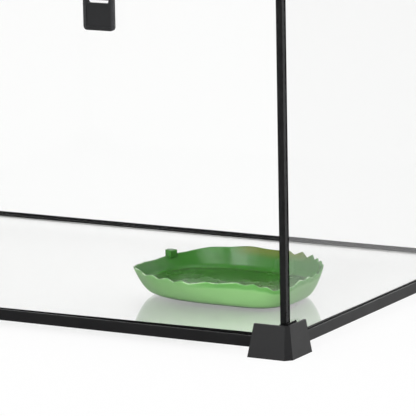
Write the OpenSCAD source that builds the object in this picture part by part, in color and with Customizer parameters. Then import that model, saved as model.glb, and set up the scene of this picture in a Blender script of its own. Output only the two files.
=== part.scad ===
// Small glass terrarium with corner feet, a top rim, a hinged screen lid with two latches, and a leaf dish.
// Millimetres. X is the width, -Y the front, Z up. The origin is on the ground under the middle of the tank.

/* [Tank glass] */
// Width over the front pane
tank_w = 490; // [380:5:800]
// Depth over the front and back panes
tank_d = 290; // [240:5:500]
// Height of the upright panes
glass_h = 235; // [180:5:450]
// Thickness of the upright panes
glass_t = 4; // [3:0.5:6]
// Thickness of the floor pane
floor_t = 5; // [3:0.5:8]
// Bevel ground on the long edges of the upright panes
arris = 0.5; // [0.2:0.1:0.8]

/* [Silicone] */
// Bond between two panes
bond = 1; // [0.5:0.1:1.5]
// Width of the bead left on the inner faces in each upright corner
corner_bead = 1.4; // [0.8:0.1:3]
// Width of the bead on the floor pane
floor_bead_w = 3; // [2:0.2:6]
// Height of the bead on the upright panes
floor_bead_h = 2.2; // [1.4:0.2:6]

/* [Bottom trim] */
// Height of the trim's underside above the ground
trim_z = 6; // [5:0.5:10]
// Overall height of the trim strip
trim_h = 7.4; // [5:0.2:12]
// Thickness of the trim's outer wall
trim_wall = 1.5; // [1:0.1:2.5]
// Thickness of the trim's web under the glass
trim_web = 1.6; // [1:0.1:3]
// Reach of the web in from the pane's outer face
trim_reach = 6; // [5:1:20]
// Clearance between the trim and the glass
trim_gap = 0.2; // [0.1:0.05:0.5]

/* [Feet] */
// Height of a corner foot
foot_h = 22; // [18:1:40]
// How far the foot's top edge stands out from the glass
foot_top_out = 2.9; // [2.8:0.1:4.5]
// How far the foot's base stands out from the glass
foot_base_out = 5; // [4.6:0.1:8]
// Length of a wing at the top, from the corner of the glass
foot_top_len = 21.7; // [18:0.1:40]
// Length of a wing at the base, from the corner of the glass
foot_base_len = 25.8; // [22:0.1:45]
// Corner chamfer at the top
foot_top_cut = 2.4; // [1:0.1:4]
// Corner chamfer at the base
foot_base_cut = 4.1; // [2:0.1:7]
// Thickness of the foot's sole and of its inner walls
foot_wall = 2; // [1.5:0.1:3]
// Clearance between the foot and the trim that it clips over
foot_gap = 0.1; // [0.05:0.05:0.3]
// Clearance between the upper edge of the foot and the glass
foot_glass_gap = 1.2; // [0.6:0.1:1.5]

/* [Top rim] */
// Overall height of the rim
rim_h = 13; // [10:0.5:20]
// Thickness of the rim's outer skirt
rim_wall = 2; // [1.5:0.1:3]
// Thickness of the rim's inner skirt
rim_inner_wall = 1.6; // [1.2:0.1:2.5]
// Height of the rim's inner skirt below the web
rim_inner_h = 6.6; // [4:0.2:10]
// Thickness of the web that covers the top edge of the glass
rim_web = 2.4; // [1.6:0.1:4]
// Clearance between the skirts and the glass
rim_gap = 0.4; // [0.2:0.05:0.8]

/* [Lid] */
// Clearance between the lid and the rim
lid_gap = 0.3; // [0.2:0.05:0.6]
// Thickness of the lid frame
lid_t = 4.7; // [4.7:0.1:8]
// Width of the lid frame's border
lid_border = 20; // [18:1:40]
// Width of the lid's middle bar
bar_w = 12; // [10:1:30]
// Thickness of the lid frame's outer and inner walls
lid_wall = 2.4; // [2:0.1:4]
// Thickness of the lid frame's top face
lid_top = 1.6; // [1.4:0.1:3]
// Thickness of the woven screen
screen_t = 0.5; // [0.3:0.1:0.8]
// Thickness of the ring that holds the screen
ring_t = 1.5; // [1:0.1:2.2]
// Clearance round the screen and its ring
ring_gap = 0.3; // [0.2:0.05:0.6]
// Radius of a ring screw's shank
screw_r = 0.9; // [0.7:0.05:1.2]
// Radius of a ring screw's head
screw_head_r = 1.9; // [1.6:0.1:2.4]
// Height of a ring screw's head
screw_head_h = 0.6; // [0.4:0.1:0.8]
// Depth of a ring screw in the top face of the lid frame
screw_bite = 1; // [0.6:0.1:1.2]

/* [Hinge] */
// Distance of each hinge from the middle of the tank
hinge_x = 150; // [80:5:160]
// Radius of the hinge barrels
barrel_r = 2.3; // [1.9:0.1:2.35]
// Radius of the hinge pins
pin_r = 1.2; // [0.8:0.05:1.4]
// Running clearance round a pin in the part that turns on it
pin_gap = 0.05; // [0.02:0.01:0.1]
// Length of the lid's barrel
barrel_len = 24; // [15:1:40]
// Thickness of each ear beside a barrel
ear_t = 3; // [2:0.2:5]
// Side clearance between a barrel and its ears
side_gap = 0.3; // [0.2:0.05:0.6]
// Distance from the hinge axis to the back edge of the lid frame
hinge_back = 1.4; // [0.8:0.1:2]

/* [Latches] */
// Distance of each latch from the middle of the tank
latch_x = 115; // [60:0.5:180]
// Width of a latch
latch_w = 22.6; // [16:0.1:40]
// Thickness of a latch
latch_t = 2.3; // [1.8:0.1:2.5]
// Length of a latch below its pivot
latch_len = 43.2; // [34:0.1:60]
// Corner radius at the bottom of a latch
latch_corner = 2.7; // [1:0.1:5]
// Radius of a latch's barrel
latch_barrel_r = 2.2; // [1.9:0.1:2.3]
// Radius of a latch's pin
latch_pin_r = 1; // [0.7:0.05:1.2]
// Length of a latch pin in the lid on each side of the latch
latch_pin_bite = 5; // [3:0.5:8]
// Width of the slot round the spring tongue
slot_w = 15.4; // [10:0.2:18]
// Corner radius at the bottom of the slot
slot_corner = 1.5; // [0.5:0.1:3]
// Distance of the slot's lower edge below the pivot
slot_low = 25.5; // [22:0.5:30]
// Distance of the slot's upper edge below the pivot
slot_high = 9; // [6:0.5:12]
// Gap beside the spring tongue
tongue_side = 1; // [0.6:0.1:2]
// Gap below the spring tongue
tongue_below = 1.9; // [1:0.1:3]
// Thickness of the spring tongue
tongue_t = 1.5; // [1:0.1:1.8]
// Height of the hook on the tongue
hook_h = 3; // [2:0.2:5]
// Width of the raised border round the front panel
panel_border = 2.4; // [1.5:0.1:4]
// Depth of the front panel
panel_deep = 0.4; // [0.2:0.1:0.8]
// Clearance between a latch and the rim
latch_gap = 0.3; // [0.2:0.05:0.5]

/* [Leaf dish] */
// Distance from the middle of the dish to the inner face of the right pane
dish_side = 92.4; // [85:0.1:120]
// Distance from the middle of the dish to the inner face of the front pane
dish_front = 97; // [70:1:110]
// Length of the dish
dish_l = 124.6; // [90:0.1:150]
// Width of the dish
dish_w = 91; // [70:1:110]
// Height of the front edge of the dish
dish_front_h = 18.6; // [14:0.1:30]
// Height of the back edge of the dish
dish_back_h = 24.3; // [14:0.1:40]
// Depth of the bowl under the dish's front edge
bowl_depth = 9; // [4:0.1:10]
// Wall thickness of the dish
dish_wall = 2; // [1.5:0.1:3.5]
// Size of the dish's base as a share of its rim
dish_base = 0.8; // [0.6:0.01:0.9]
// Depth of the scallops in the rim
scallop = 1.2; // [0:0.1:2]
// Number of scallops round the rim
scallops = 24; // [12:2:32]
// Reach of the stalk stub past the rim
stalk_len = 3.5; // [3:0.5:12]
// Width of the stalk stub
stalk_w = 6; // [4:0.5:12]
// Clearance under the dish
dish_gap = 0.05; // [0.02:0.01:0.2]

/* [Hidden] */
$fn = 48;
over = 1;     // how far a cutting shape runs past the face that it cuts
skin = 0.01;  // thickness of the slices that a hull joins, and of a step that parts two faces

half_w = tank_w / 2;
half_d = tank_d / 2;
in_w = half_w - glass_t;  // inner face of the side panes
in_d = half_d - glass_t;  // inner face of the front and back panes
glass_z = trim_z + trim_web;
floor_top = glass_z + floor_t;
glass_top = glass_z + glass_h;

trim_out = trim_gap + trim_wall;  // outer face of the trim, from the glass
trim_top = trim_z + trim_h;
mitre_gap = trim_gap / 4;  // how far a strip's end stands back from the mitre

rim_top = glass_top + rim_web;
rim_out = rim_gap + rim_wall;  // outer face of the rim, from the glass
skirt_low = rim_top - rim_h;

lid_z = rim_top + lid_gap;
lid_high = lid_z + lid_t;
hinge_z = lid_z + barrel_r;
hinge_y = half_d + rim_out;
lid_half_w = half_w + rim_out;
lid_front = half_d + rim_out;
lid_back = hinge_y - hinge_back;
well_z = lid_high - lid_top;  // underside of the lid's top face
screen_z = well_z - screen_t;
ring_z = screen_z - ring_t;

latch_face = half_d + rim_out + latch_gap + latch_t;  // front face of a latch
latch_y = latch_face - latch_t - latch_gap;           // pivot of a latch
latch_z = rim_top + lid_gap + latch_barrel_r;
latch_sweep = latch_face - latch_y;                   // radius swept by the top of the latch plate
notch_w = latch_w + 2 * side_gap;

bead_low = floor_top + floor_bead_h;
bead_high = glass_top - rim_inner_h - rim_gap;  // the corner beads stop under the rim's inner skirt

dish_x = in_w - dish_side;
dish_y = in_d - dish_front;

// ---------- shared shapes ----------

// A box given by its two opposite corners.
module block(low, high) {
    translate(low) cube(high - low);
}

// A rectangular ring, upright, given by the half sizes of its inside and its wall thickness.
module frame_ring(half_x, half_y, wall, low, high) {
    difference() {
        block([-half_x - wall, -half_y - wall, low], [half_x + wall, half_y + wall, high]);
        block([-half_x, -half_y, low - over], [half_x, half_y, high + over]);
    }
}

// A straight bar along X whose cross-section is given in Y and Z.
module bar_x(points, length) {
    rotate([90, 0, 90]) translate([0, 0, -length / 2]) linear_extrude(length) polygon(points);
}

// A round rod along X.
module rod_x(radius, length) {
    rotate([0, 90, 0]) cylinder(h = length, r = radius, center = true);
}

// A shape drawn at the front right, moved to one of the four corners.
module at_corner(side, end) {
    mirror([side < 0 ? 1 : 0, 0, 0]) mirror([0, end < 0 ? 0 : 1, 0]) children();
}

// ---------- glass ----------

// Upright pane with ground edges, its thickness from 0 to glass_t along Y.
module pane(width) {
    translate([0, 0, glass_z]) linear_extrude(glass_h) polygon([
        [-width / 2 + arris, 0], [width / 2 - arris, 0], [width / 2, arris], [width / 2, glass_t - arris],
        [width / 2 - arris, glass_t], [-width / 2 + arris, glass_t],
        [-width / 2, glass_t - arris], [-width / 2, arris],
    ]);
}

module glass_front() {
    color([0.85, 0.93, 0.92, 0.3]) translate([0, -half_d, 0]) pane(tank_w);
}

module glass_back() {
    color([0.85, 0.93, 0.92, 0.3]) translate([0, in_d, 0]) pane(tank_w);
}

module side_pane() {
    rotate([0, 0, 90]) translate([0, -half_w, 0]) pane(2 * (in_d - bond));
}

module glass_right() {
    color([0.85, 0.93, 0.92, 0.3]) side_pane();
}

module glass_left() {
    color([0.85, 0.93, 0.92, 0.3]) mirror([1, 0, 0]) side_pane();
}

module glass_floor() {
    color([0.85, 0.93, 0.92, 0.3]) block(
        [-in_w + bond, -in_d + bond, glass_z], [in_w - bond, in_d - bond, floor_top]);
}

// ---------- silicone ----------

// Bond and bead in the upright corner at the front right.
module corner_seal() {
    color([0.06, 0.06, 0.065]) {
        block([in_w, -in_d, glass_z], [half_w - arris, -in_d + bond, glass_top]);
        translate([0, 0, bead_low]) linear_extrude(bead_high - bead_low) polygon([
            [in_w - corner_bead, -in_d], [in_w + arris, -in_d], [in_w + arris, -in_d + bond],
            [in_w, -in_d + bond], [in_w, -in_d + corner_bead],
        ]);
    }
}

module seal_front_left() {
    at_corner(-1, -1) corner_seal();
}

module seal_front_right() {
    at_corner(1, -1) corner_seal();
}

module seal_back_left() {
    at_corner(-1, 1) corner_seal();
}

module seal_back_right() {
    at_corner(1, 1) corner_seal();
}

bead_draw = 0.35;  // how far the hollow face of a floor bead is drawn in, as a share of the bead's size

// Beads along the two long or the two short sides of the floor.
module floor_beads(reach, length) {
    for (flip = [0, 1]) mirror([0, flip, 0]) bar_x([
        [-reach, floor_top], [-reach + floor_bead_w, floor_top],
        [-reach + floor_bead_w * bead_draw, floor_top + floor_bead_h * bead_draw],
        [-reach, floor_top + floor_bead_h],
    ], length);
}

module seal_floor() {
    color([0.06, 0.06, 0.065]) union() {
        frame_ring(in_w - bond, in_d - bond, bond, glass_z, floor_top);
        floor_beads(in_d, 2 * in_w);
        rotate([0, 0, 90]) floor_beads(in_w, 2 * in_d);
    }
}

// ---------- bottom trim ----------

// L-shaped strip under the front edge, for a side of the given half length, with mitred ends.
module trim_strip(reach, half_length) {
    end = half_length + trim_out;
    color([0.13, 0.13, 0.135]) difference() {
        bar_x([
            [-reach - trim_out, trim_z], [-reach + trim_reach, trim_z],
            [-reach + trim_reach, glass_z], [-reach - trim_gap, glass_z],
            [-reach - trim_gap, trim_top], [-reach - trim_out, trim_top],
        ], 2 * end);
        for (flip = [0, 1]) mirror([flip, 0, 0])
            translate([end - mitre_gap, -reach - trim_out, trim_z - over])
            rotate([0, 0, 45]) translate([0, -2 * trim_reach, 0])
                cube([2 * trim_reach, 4 * trim_reach, trim_h + 2 * over]);
    }
}

module trim_front() {
    trim_strip(half_d, half_w);
}

module trim_back() {
    mirror([0, 1, 0]) trim_strip(half_d, half_w);
}

module trim_right() {
    rotate([0, 0, 90]) trim_strip(half_w, half_d);
}

module trim_left() {
    mirror([1, 0, 0]) rotate([0, 0, 90]) trim_strip(half_w, half_d);
}

// ---------- feet ----------

// Slice of the foot's outer shape at one height: a square with its outer corner cut off.
module foot_slice(out, length, cut, height) {
    translate([0, 0, height]) linear_extrude(skin) polygon([
        [half_w - length, -half_d - out], [half_w + out - cut, -half_d - out],
        [half_w + out, -half_d - out + cut], [half_w + out, -half_d + length],
        [half_w - length, -half_d + length],
    ]);
}

// Hollow corner foot at the front right: tapered shell, sole with ribs, pocket for the glass and trim.
module foot() {
    inner = foot_base_len - foot_wall;      // inner edge of the hollows, from the corner of the glass
    outer = foot_base_out - 2 * foot_wall;  // outer edge of the hollows, from the corner of the glass
    cell = (inner + outer - foot_wall) / 2;
    cave_top = trim_z - foot_wall;
    color([0.2, 0.2, 0.205]) difference() {
        hull() {
            foot_slice(foot_base_out, foot_base_len, foot_base_cut, 0);
            foot_slice(foot_top_out, foot_top_len, foot_top_cut, foot_h - skin);
        }
        // the trim's pocket
        block([half_w - 2 * foot_base_len, -half_d - trim_out - foot_gap, trim_z],
            [half_w + trim_out + foot_gap, -half_d + 2 * foot_base_len, trim_top + foot_gap]);
        // the glass's pocket
        block([half_w - 2 * foot_base_len, -half_d - foot_glass_gap, trim_top],
            [half_w + foot_glass_gap, -half_d + 2 * foot_base_len, foot_h + over]);
        // hollows in the sole, with a cross of ribs left between them
        for (ix = [0, 1], iy = [0, 1]) {
            low_x = half_w - inner + ix * (cell + foot_wall);
            low_y = -half_d - outer + iy * (cell + foot_wall);
            block([low_x, low_y, -over], [low_x + cell, low_y + cell, cave_top]);
        }
    }
}

module foot_front_right() {
    at_corner(1, -1) foot();
}

module foot_front_left() {
    at_corner(-1, -1) foot();
}

module foot_back_right() {
    at_corner(1, 1) foot();
}

module foot_back_left() {
    at_corner(-1, 1) foot();
}

// ---------- top rim ----------

// Ears that hold one hinge pin, standing on the back edge of the rim.
module hinge_ears() {
    for (side = [-1, 1]) {
        x = side * (barrel_len / 2 + side_gap + ear_t / 2);
        translate([x, hinge_y, hinge_z]) rod_x(barrel_r, ear_t);
        block([x - ear_t / 2, hinge_y - barrel_r, rim_top - rim_web / 2], [x + ear_t / 2, hinge_y, hinge_z]);
    }
}

module top_rim() {
    color([0.09, 0.09, 0.095]) difference() {
        union() {
            frame_ring(half_w + rim_gap, half_d + rim_gap, rim_wall, skirt_low, rim_top);
            frame_ring(in_w - rim_gap - rim_inner_wall, in_d - rim_gap - rim_inner_wall, rim_inner_wall,
                glass_top - rim_inner_h, rim_top);
            frame_ring(in_w - rim_gap - rim_inner_wall, in_d - rim_gap - rim_inner_wall,
                glass_t + 2 * rim_gap + rim_inner_wall + rim_wall, glass_top, rim_top);
            for (side = [-1, 1]) translate([side * hinge_x, 0, 0]) hinge_ears();
        }
        for (side = [-1, 1]) translate([side * hinge_x, hinge_y, hinge_z])
            rod_x(pin_r, barrel_len + 4 * ear_t);
    }
}

module hinge_pin(side) {
    color([0.75, 0.75, 0.77]) translate([side * hinge_x, hinge_y, hinge_z])
        rod_x(pin_r, barrel_len + 2 * side_gap + 2 * ear_t);
}

module hinge_pin_left() {
    hinge_pin(-1);
}

module hinge_pin_right() {
    hinge_pin(1);
}

// ---------- lid ----------

// One window of the lid, from side 1 (right) or -1 (left), grown by a margin.
module window(side, margin, low, high) {
    near = bar_w / 2 - margin;
    far = lid_half_w - lid_border + margin;
    block([side > 0 ? near : -far, -lid_front + lid_border - margin, low],
        [side > 0 ? far : -near, lid_back - lid_border + margin, high]);
}

// Places of the ring screws: the four corners, both ends, and between the latches at the front and back.
screw_edge = 0.6;  // width of the ring beside a screw's head
screw_in = lid_wall + ring_gap + screw_head_r + screw_edge;  // from the lid's outer face to a screw's axis
screw_x = lid_half_w - screw_in;
screw_front = -lid_front + screw_in;
screw_back = lid_back - screw_in;
screw_places = concat(
    [for (x = [-screw_x, -latch_x / 2, latch_x / 2, screw_x], y = [screw_front, screw_back]) [x, y]],
    [for (x = [-screw_x, screw_x]) [x, (screw_front + screw_back) / 2]]
);

// Room in the lid frame for a latch's barrel.
module latch_notch(side) {
    block([side * latch_x - notch_w / 2, -lid_front - over, lid_z - over],
        [side * latch_x + notch_w / 2, -latch_y + latch_sweep + latch_gap, lid_high + over]);
}

// Thicker front wall of the lid frame behind and beside a latch.
module latch_block(side) {
    reach = latch_w / 2 + latch_pin_bite + lid_wall;
    block([side * latch_x - reach, -lid_front, lid_z],
        [side * latch_x + reach, -latch_y + latch_sweep + latch_gap + lid_wall, lid_high - skin]);
}

module lid_frame() {
    color([0.1, 0.1, 0.105]) difference() {
        union() {
            difference() {
                block([-lid_half_w, -lid_front, lid_z], [lid_half_w, lid_back, lid_high]);
                // the well under the top face for the screen and its ring
                block([-lid_half_w + lid_wall, -lid_front + lid_wall, lid_z - over],
                    [lid_half_w - lid_wall, lid_back - lid_wall, well_z]);
            }
            for (side = [-1, 1]) {
                latch_block(side);
                translate([side * hinge_x, hinge_y, hinge_z]) rod_x(barrel_r, barrel_len);
            }
        }
        for (side = [-1, 1]) {
            window(side, 0, lid_z - over, lid_high + over);
            latch_notch(side);
            translate([side * latch_x, -latch_y, latch_z]) rod_x(latch_pin_r, latch_w + 2 * latch_pin_bite);
            translate([side * hinge_x, hinge_y, hinge_z]) rod_x(pin_r + pin_gap, barrel_len + over);
            // room for the rim's ears
            for (ear = [-1, 1]) translate([side * hinge_x + ear * (barrel_len / 2 + side_gap + ear_t / 2), 0, 0])
                block([-ear_t / 2 - side_gap, hinge_y - barrel_r - side_gap - over, lid_z - over],
                    [ear_t / 2 + side_gap, hinge_y + over, lid_high + over]);
        }
        for (p = screw_places) translate([p[0], p[1], well_z - over])
            cylinder(h = over + screw_bite, r = screw_r);
    }
}

// Outline shared by the screen and its ring: inside the well, clear of the latch blocks.
module well_plate(low, high) {
    front = -latch_y + latch_sweep + latch_gap + lid_wall + ring_gap;
    difference() {
        block([-lid_half_w + lid_wall + ring_gap, -lid_front + lid_wall + ring_gap, low],
            [lid_half_w - lid_wall - ring_gap, lid_back - lid_wall - ring_gap, high]);
        for (side = [-1, 1]) {
            reach = latch_w / 2 + latch_pin_bite + lid_wall + ring_gap;
            block([side * latch_x - reach, -lid_front, low - over], [side * latch_x + reach, front, high + over]);
        }
    }
}

module lid_screen() {
    color([0.45, 0.46, 0.47]) difference() {
        well_plate(screen_z, well_z);
        for (p = screw_places) translate([p[0], p[1], screen_z - over])
            cylinder(h = screen_t + 2 * over, r = screw_r + ring_gap);
    }
}

ring_back = 2;  // how far the ring's openings stand back from the lid's windows

module screen_ring() {
    color([0.12, 0.12, 0.125]) difference() {
        well_plate(ring_z, screen_z);
        for (side = [-1, 1]) window(side, ring_back, ring_z - over, screen_z + over);
        for (p = screw_places) translate([p[0], p[1], ring_z - over])
            cylinder(h = ring_t + 2 * over, r = screw_r + ring_gap);
    }
}

cross_reach = 0.6;  // reach of the cross in a screw's head, as a share of the head's radius
cross_half = 0.2;   // half the width of the cross
shank_root = 0.1;   // how far the shank runs into the head

// Pan-head screws that hold the ring, pointing up.
module ring_screws() {
    color([0.7, 0.7, 0.72]) for (p = screw_places) translate([p[0], p[1], 0]) union() {
        translate([0, 0, ring_z - screw_head_h]) difference() {
            cylinder(h = screw_head_h, r = screw_head_r);
            for (turn = [0, 90]) rotate([0, 0, turn])
                block([-screw_head_r * cross_reach, -cross_half, -over],
                    [screw_head_r * cross_reach, cross_half, screw_head_h / 2]);
        }
        translate([0, 0, ring_z - shank_root])
            cylinder(h = ring_t + screen_t + screw_bite + shank_root, r = screw_r);
    }
}

// ---------- latches ----------

// Front outline of the latch plate below its pivot, in X and Z.
module latch_outline() {
    difference() {
        union() {
            translate([-latch_w / 2, -latch_len + latch_corner]) square([latch_w, latch_len - latch_corner]);
            translate([-latch_w / 2 + latch_corner, -latch_len])
                square([latch_w - 2 * latch_corner, latch_corner + over]);
            for (side = [-1, 1]) translate([side * (latch_w / 2 - latch_corner), -latch_len + latch_corner])
                circle(r = latch_corner);
        }
        latch_slot();
    }
}

// Slot with round lower corners.
module latch_slot() {
    translate([-slot_w / 2, -slot_low + slot_corner]) square([slot_w, slot_low - slot_high - slot_corner]);
    translate([-slot_w / 2 + slot_corner, -slot_low])
        square([slot_w - 2 * slot_corner, slot_corner + over]);
    for (side = [-1, 1]) translate([side * (slot_w / 2 - slot_corner), -slot_low + slot_corner])
        circle(r = slot_corner);
}

hook_fill = 0.8;  // how much of the gap behind the plate the tongue's hook fills

// Latch drawn round its own pivot, its front towards -Y.
module latch() {
    tongue_w = slot_w - 2 * tongue_side;
    back = -latch_gap;  // the plate's back face, from the pivot
    color([0.17, 0.17, 0.175]) difference() {
        union() {
            // plate
            translate([0, back, 0]) rotate([90, 0, 0]) linear_extrude(latch_t) latch_outline();
            // round head over the pivot
            intersection() {
                rod_x(latch_sweep, latch_w);
                block([-latch_w, -latch_sweep - over, -latch_sweep - over], [latch_w, back, over / 2]);
            }
            rod_x(latch_barrel_r, latch_w);
            // spring tongue with a hook at its back
            block([-tongue_w / 2, back - tongue_t, -slot_low + tongue_below],
                [tongue_w / 2, back, -slot_high + over]);
            bar_x([
                [back, -slot_low + tongue_below],
                [back + latch_gap * hook_fill, -slot_low + tongue_below + hook_h / 2],
                [back + latch_gap * hook_fill, -slot_low + tongue_below + hook_h],
                [back, -slot_low + tongue_below + hook_h],
            ], tongue_w);
        }
        rod_x(latch_pin_r + pin_gap, latch_w + over);
        // sunk panel below the slot
        block([-latch_w / 2 + panel_border, -latch_sweep - over, -latch_len + panel_border],
            [latch_w / 2 - panel_border, -latch_sweep + panel_deep, -slot_low - panel_border / 2]);
    }
}

module latch_right() {
    translate([latch_x, -latch_y, latch_z]) latch();
}

module latch_left() {
    translate([-latch_x, -latch_y, latch_z]) latch();
}

module latch_pin(side) {
    color([0.75, 0.75, 0.77]) translate([side * latch_x, -latch_y, latch_z])
        rod_x(latch_pin_r, latch_w + 2 * latch_pin_bite);
}

module latch_pin_left() {
    latch_pin(-1);
}

module latch_pin_right() {
    latch_pin(1);
}

// ---------- leaf dish ----------

dish_steps = 4 * scallops;               // points round the dish
dish_floor = dish_front_h - bowl_depth;  // height of the bowl's floor above the dish's underside
leaf_blunt = 2.5;                        // bluntness of the leaf's plan: 2 is an ellipse
rim_mean = (dish_front_h + dish_back_h) / 2;
rim_tilt = (dish_back_h - dish_front_h) / 2;

// Swells of the plan, each with its share of the reach, its direction and its half width in degrees.
reach_swells = [[0.03, 199, 8], [0.05, 332, 16]];

// Swells of the rim's height, each with its height, its direction and its half width in degrees: the rise and
// the dip at the front right, the right end, the back right, the middle of the back and the dip by the stalk.
rim_swells = [[1.3, 295, 18], [-4.3, 331, 9], [-1.5, 2, 12], [1.4, 48, 14], [0.8, 97, 14], [-3.6, 167, 24]];

// A smooth swell of height 1 round an angle, with a given half width in degrees.
function swell(a, at, width) =
    let (off = ((a - at + 540) % 360) - 180)
    exp(-off * off / (width * width));

// Sum of a list of swells at an angle.
function swells(list, a) = [for (s = list) s[0] * swell(a, s[1], s[2])] * [for (s = list) 1];

// Reach of the leaf's rim at an angle: an oval with blunt ends and swells at two corners.
function leaf_reach(a) =
    let (x = abs(cos(a)) / (dish_l / 2), y = abs(sin(a)) / (dish_w / 2))
    pow(pow(x, leaf_blunt) + pow(y, leaf_blunt), -1 / leaf_blunt) * (1 + swells(reach_swells, a));

// Height of the rim at an angle: low at the front and high at the back.
function rim_height(a) = rim_mean + rim_tilt * sin(a) + swells(rim_swells, a);

// Scallop cut into the rim at an angle.
function notch(a) = scallop * (1 - abs(sin(a * scallops / 2)));

// The dish is a stack of rings from the middle of its base, up the outside, over the rim and down the
// inside. Each has its share of the rim's reach, of its height, its inward offset and its share of scallop.
wall_turns = 5;      // steps up the wall
wall_bulge = 0.4;    // power of the wall's curve: 1 is a cone, less is rounder below
wall_start = 0.04;   // height of the lowest step, as a share of the rim's height
hub = 0.2;           // reach of the innermost ring, as a share of the rim's reach
recess_edge = 0.94;  // where the flat underside ends, as a share of the base
notch_drop = 0.8;    // how much of a scallop's depth lowers the rim
function wall_share(t) = dish_base + (1 - dish_base) * pow(t, wall_bulge);
function outer_ring(t) = [wall_share(t), t, 0, t];
function inner_ring(t) = [wall_share(t), t, dish_wall, t];

rings = concat(
    [[hub, 0, 0, 0], [dish_base * recess_edge, 0, 0, 0]],
    [for (i = [0 : wall_turns]) let (t = max(wall_start, i / wall_turns)) outer_ring(t)],
    [for (i = [wall_turns : -1 : 0]) let (t = i / wall_turns) inner_ring(t)],
    [[hub, 0, 0, 0]]
);

// One point of the dish, for a ring and an angle; low is the lowest height that the ring may have.
function dish_point(ring, a, low) =
    let (r = leaf_reach(a) * ring[0] - ring[2] - notch(a) * ring[3])
    [r * cos(a), r * sin(a), max(low, rim_height(a) * ring[1] - notch(a) * ring[3] * notch_drop)];

dish_points = concat(
    [for (k = [0 : len(rings) - 1], i = [0 : dish_steps - 1])
        dish_point(rings[k], 360 * i / dish_steps, k > wall_turns + 2 ? dish_floor : 0)],
    [[0, 0, 0], [0, 0, dish_floor]]
);
ring_end = (len(rings) - 1) * dish_steps;
dish_faces = concat(
    [for (k = [0 : len(rings) - 2], i = [0 : dish_steps - 1], half = [0, 1])
        let (a = k * dish_steps + i, b = k * dish_steps + (i + 1) % dish_steps)
        half == 0 ? [a, b + dish_steps, b] : [a, a + dish_steps, b + dish_steps]],
    [for (i = [0 : dish_steps - 1]) [len(rings) * dish_steps, i, (i + 1) % dish_steps]],
    [for (i = [0 : dish_steps - 1])
        [len(rings) * dish_steps + 1, ring_end + (i + 1) % dish_steps, ring_end + i]]
);

stalk_at = 157;    // direction of the stalk stub, in degrees
stalk_low = 0.88;  // height of the stub's underside, as a share of the rim's height there
stalk_rise = 3;    // how far the stub stands above the rim
stalk_foot = rim_height(stalk_at) * stalk_low;

module leaf_dish() {
    color([0.36, 0.55, 0.28]) translate([dish_x, -dish_y, floor_top + dish_gap]) union() {
        polyhedron(points = dish_points, faces = dish_faces);
        rotate([0, 0, stalk_at]) block(
            [leaf_reach(stalk_at) * wall_share(stalk_low) - dish_wall / 2, -stalk_w / 2, stalk_foot],
            [leaf_reach(stalk_at) + stalk_len, stalk_w / 2, rim_height(stalk_at) + stalk_rise]);
    }
}

// ---------- what is drawn ----------

glass_front();
glass_back();
glass_left();
glass_right();
glass_floor();
seal_front_left();
seal_front_right();
seal_back_left();
seal_back_right();
seal_floor();
trim_front();
trim_back();
trim_left();
trim_right();
foot_front_left();
foot_front_right();
foot_back_left();
foot_back_right();
top_rim();
hinge_pin_left();
hinge_pin_right();
lid_frame();
lid_screen();
screen_ring();
ring_screws();
latch_pin_left();
latch_pin_right();
latch_left();
latch_right();
leaf_dish();
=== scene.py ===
import math
import random

import bmesh
import bpy
from bpy.props import BoolProperty, FloatProperty, FloatVectorProperty, IntProperty, PointerProperty
from mathutils import Matrix, Vector


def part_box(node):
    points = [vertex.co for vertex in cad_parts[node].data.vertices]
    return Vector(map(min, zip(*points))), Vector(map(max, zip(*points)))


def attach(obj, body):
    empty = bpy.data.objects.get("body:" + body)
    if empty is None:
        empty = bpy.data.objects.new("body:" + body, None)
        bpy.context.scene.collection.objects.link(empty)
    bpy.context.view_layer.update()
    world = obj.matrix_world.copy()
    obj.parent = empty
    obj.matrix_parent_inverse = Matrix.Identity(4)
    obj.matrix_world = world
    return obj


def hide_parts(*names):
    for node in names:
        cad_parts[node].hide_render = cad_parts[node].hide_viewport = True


bl_info = {
    "name": "Glass Terrarium",
    "version": (1, 0, 0),
    "blender": (4, 5, 0),
    "location": "View3D > Sidebar > Terrarium",
    "description": "Finishes for a low glass terrarium with a screen lid and a leaf dish",
    "category": "Add Mesh",
}

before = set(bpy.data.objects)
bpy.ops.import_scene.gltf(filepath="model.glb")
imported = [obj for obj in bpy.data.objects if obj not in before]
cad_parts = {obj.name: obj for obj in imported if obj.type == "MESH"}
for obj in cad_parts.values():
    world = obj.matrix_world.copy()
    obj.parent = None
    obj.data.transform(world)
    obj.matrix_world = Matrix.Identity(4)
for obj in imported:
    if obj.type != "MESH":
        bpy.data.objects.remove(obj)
MM = 0.001

# ---------------------------------------------------------------- places taken from the frame

GLASS_LOW, GLASS_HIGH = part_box("glass_front")
HALF_W = GLASS_HIGH.x
HALF_D = -GLASS_LOW.y
GLASS_T = GLASS_HIGH.y - GLASS_LOW.y
IN_W = HALF_W - GLASS_T
IN_D = HALF_D - GLASS_T
GLASS_Z = GLASS_LOW.z
GLASS_TOP = GLASS_HIGH.z
FLOOR_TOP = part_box("glass_floor")[1].z
BOND = IN_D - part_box("glass_floor")[1].y
BEAD_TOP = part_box("seal_floor")[1].z
SCREEN_LOW, SCREEN_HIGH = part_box("lid_screen")
DISH_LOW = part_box("leaf_dish")[0]
LATCH_LOW, LATCH_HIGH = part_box("latch_right")
FOOT_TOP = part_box("foot_front_right")[1].z
LATCH_AT = (LATCH_LOW.x + LATCH_HIGH.x) / 2
LATCH_HALF = (LATCH_HIGH.x - LATCH_LOW.x) / 2

MERGE = 1e-6  # points closer than this are one point


# ---------------------------------------------------------------- settings

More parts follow.
